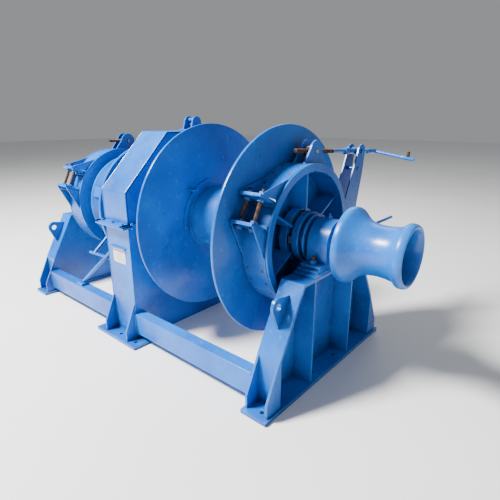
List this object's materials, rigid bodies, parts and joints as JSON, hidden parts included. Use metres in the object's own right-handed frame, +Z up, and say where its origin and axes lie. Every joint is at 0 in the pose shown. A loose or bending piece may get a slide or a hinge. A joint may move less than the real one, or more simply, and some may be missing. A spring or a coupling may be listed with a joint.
{
  "type": "anchor windlass",
  "caption": "Anchor windlass with a rope drum, chain wheel, warping head, band brakes, jaw clutches and a central gearbox on pedestals, for hauling anchor cable on a ship's deck.",
  "frame": {"origin": "on the deck plane, in the middle of the gearbox's underside, straight below the main shaft", "axes": "+X along the main shaft towards the warping head, +Y towards the brake cranks at the rear, +Z up"},
  "size_m": [2.922, 1.706, 1.426],
  "materials": {
    "blue_paint": "semi-gloss",
    "bare_steel": "oiled",
    "rusty_fixings": "rusted",
    "bronze": "machined",
    "friction_lining": "matt",
    "plate_metal": "satin"
  },
  "bodies": {
    "frame": {"near_pedestal": "blue_paint", "far_pedestal": "blue_paint", "near_front_beam": "blue_paint", "far_front_beam": "blue_paint", "near_rear_beam": "blue_paint", "far_rear_beam": "blue_paint", "gearbox_lower_casing": "blue_paint", "gearbox_upper_casing": "blue_paint", "gearbox_near_bearing": "blue_paint", "gearbox_far_bearing": "blue_paint", "near_bearing_housing": "blue_paint", "far_bearing_housing": "blue_paint", "lifting_bracket": "blue_paint", "hydraulic_motor": "blue_paint", "near_lower_band": "blue_paint", "far_lower_band": "blue_paint", "near_brake_arms": "blue_paint", "far_brake_arms": "blue_paint", "near_clutch_pin": "blue_paint", "far_clutch_pin": "blue_paint", "chain_stripper": "blue_paint", "near_bearing_stud_front": "rusty_fixings", "near_bearing_stud_rear": "rusty_fixings", "far_bearing_stud_front": "rusty_fixings", "far_bearing_stud_rear": "rusty_fixings", "near_clamp_stud_inner": "rusty_fixings", "near_clamp_stud_outer": "rusty_fixings", "far_clamp_stud_inner": "rusty_fixings", "far_clamp_stud_outer": "rusty_fixings", "near_bearing_bush": "bronze", "far_bearing_bush": "bronze", "near_lower_lining": "friction_lining", "far_lower_lining": "friction_lining", "data_plate": "plate_metal"},
    "shaft": {"main_shaft": "bare_steel", "main_gear": "bare_steel", "warping_head": "blue_paint", "warping_head_retainer": "blue_paint"},
    "pinion": {"pinion_shaft": "bare_steel"},
    "drum": {"rope_drum": "blue_paint", "drum_near_flange": "blue_paint", "near_brake_drum": "blue_paint"},
    "cable_lifter": {"chain_wheel": "blue_paint", "far_brake_drum": "blue_paint"},
    "near_jaw": {"near_clutch_jaw": "blue_paint"},
    "near_lever": {"near_clutch_lever": "blue_paint"},
    "near_band": {"near_upper_band": "blue_paint", "near_upper_lining": "friction_lining"},
    "near_nut": {"near_spindle_nut": "bare_steel"},
    "near_swivel": {"near_trunnion": "blue_paint"},
    "near_screw": {"near_spindle": "bare_steel", "near_crank": "blue_paint"},
    "far_jaw": {"far_clutch_jaw": "blue_paint"},
    "far_lever": {"far_clutch_lever": "blue_paint"},
    "far_band": {"far_upper_band": "blue_paint", "far_upper_lining": "friction_lining"},
    "far_nut": {"far_spindle_nut": "bare_steel"},
    "far_swivel": {"far_trunnion": "blue_paint"},
    "far_screw": {"far_spindle": "bare_steel", "far_crank": "blue_paint"}
  },
  "joints": [
    {"name": "shaft_turn", "type": "hinge", "parent": "frame", "child": "shaft", "pos_m": [0, 0, 0.78], "axis": [1, 0, 0], "continuous": true},
    {"name": "pinion_turn", "type": "hinge", "parent": "frame", "child": "pinion", "pos_m": [0, 0, 0.202], "axis": [1, 0, 0], "continuous": true},
    {"name": "drum_turn", "type": "hinge", "parent": "frame", "child": "drum", "pos_m": [0.6, 0, 0.78], "axis": [1, 0, 0], "continuous": true},
    {"name": "lifter_turn", "type": "hinge", "parent": "frame", "child": "cable_lifter", "pos_m": [-0.5, 0, 0.78], "axis": [1, 0, 0], "continuous": true},
    {"name": "near_lever_swing", "type": "hinge", "parent": "frame", "child": "near_lever", "pos_m": [1.123, 0.4, 0.7095], "axis": [0, 0, -1], "range_deg": [0, 4.5]},
    {"name": "near_jaw_slide", "type": "slide", "parent": "shaft", "child": "near_jaw", "axis": [-1, 0, 0], "range_m": [0, 0.022]},
    {"name": "near_screw_turn", "type": "hinge", "parent": "near_swivel", "child": "near_screw", "pos_m": [1.005, 0.645, 1.206], "axis": [0, -0.9985, 0.055], "range_deg": [-360, 30]},
    {"name": "near_band_swing", "type": "hinge", "parent": "frame", "child": "near_band", "pos_m": [1.005, -0.3832, 1.0481], "axis": [-1, 0, 0], "range_deg": [-1.4, 0.2]},
    {"name": "near_nut_tilt", "type": "hinge", "parent": "near_band", "child": "near_nut", "pos_m": [1.005, 0.1, 1.236], "axis": [-1, 0, 0], "range_deg": [-0.3, 2.7]},
    {"name": "near_swivel_tilt", "type": "hinge", "parent": "frame", "child": "near_swivel", "pos_m": [1.005, 0.645, 1.206], "axis": [-1, 0, 0], "range_deg": [-0.2, 1.3]},
    {"name": "far_lever_swing", "type": "hinge", "parent": "frame", "child": "far_lever", "pos_m": [-0.923, 0.4, 0.7095], "axis": [0, 0, 1], "range_deg": [0, 4.5]},
    {"name": "far_jaw_slide", "type": "slide", "parent": "shaft", "child": "far_jaw", "axis": [1, 0, 0], "range_m": [0, 0.022]},
    {"name": "far_screw_turn", "type": "hinge", "parent": "far_swivel", "child": "far_screw", "pos_m": [-0.805, 0.645, 1.206], "axis": [0, -0.9985, 0.055], "range_deg": [-360, 30]},
    {"name": "far_band_swing", "type": "hinge", "parent": "frame", "child": "far_band", "pos_m": [-0.805, -0.3832, 1.0481], "axis": [-1, 0, 0], "range_deg": [-1.4, 0.2]},
    {"name": "far_nut_tilt", "type": "hinge", "parent": "far_band", "child": "far_nut", "pos_m": [-0.805, 0.1, 1.236], "axis": [-1, 0, 0], "range_deg": [-0.3, 2.7]},
    {"name": "far_swivel_tilt", "type": "hinge", "parent": "frame", "child": "far_swivel", "pos_m": [-0.805, 0.645, 1.206], "axis": [-1, 0, 0], "range_deg": [-0.2, 1.3]}
  ],
  "couplings": [
    {"joint": "pinion_turn", "follows": "shaft_turn", "ratio": -3},
    {"joint": "near_jaw_slide", "follows": "near_lever_swing", "m_per_rad": 0.28},
    {"joint": "near_band_swing", "follows": "near_screw_turn", "ratio": 0.003716},
    {"joint": "near_nut_tilt", "follows": "near_screw_turn", "ratio": -0.006931},
    {"joint": "near_swivel_tilt", "follows": "near_screw_turn", "ratio": -0.003215},
    {"joint": "far_jaw_slide", "follows": "far_lever_swing", "m_per_rad": 0.28},
    {"joint": "far_band_swing", "follows": "far_screw_turn", "ratio": 0.003716},
    {"joint": "far_nut_tilt", "follows": "far_screw_turn", "ratio": -0.006931},
    {"joint": "far_swivel_tilt", "follows": "far_screw_turn", "ratio": -0.003215}
  ]
}
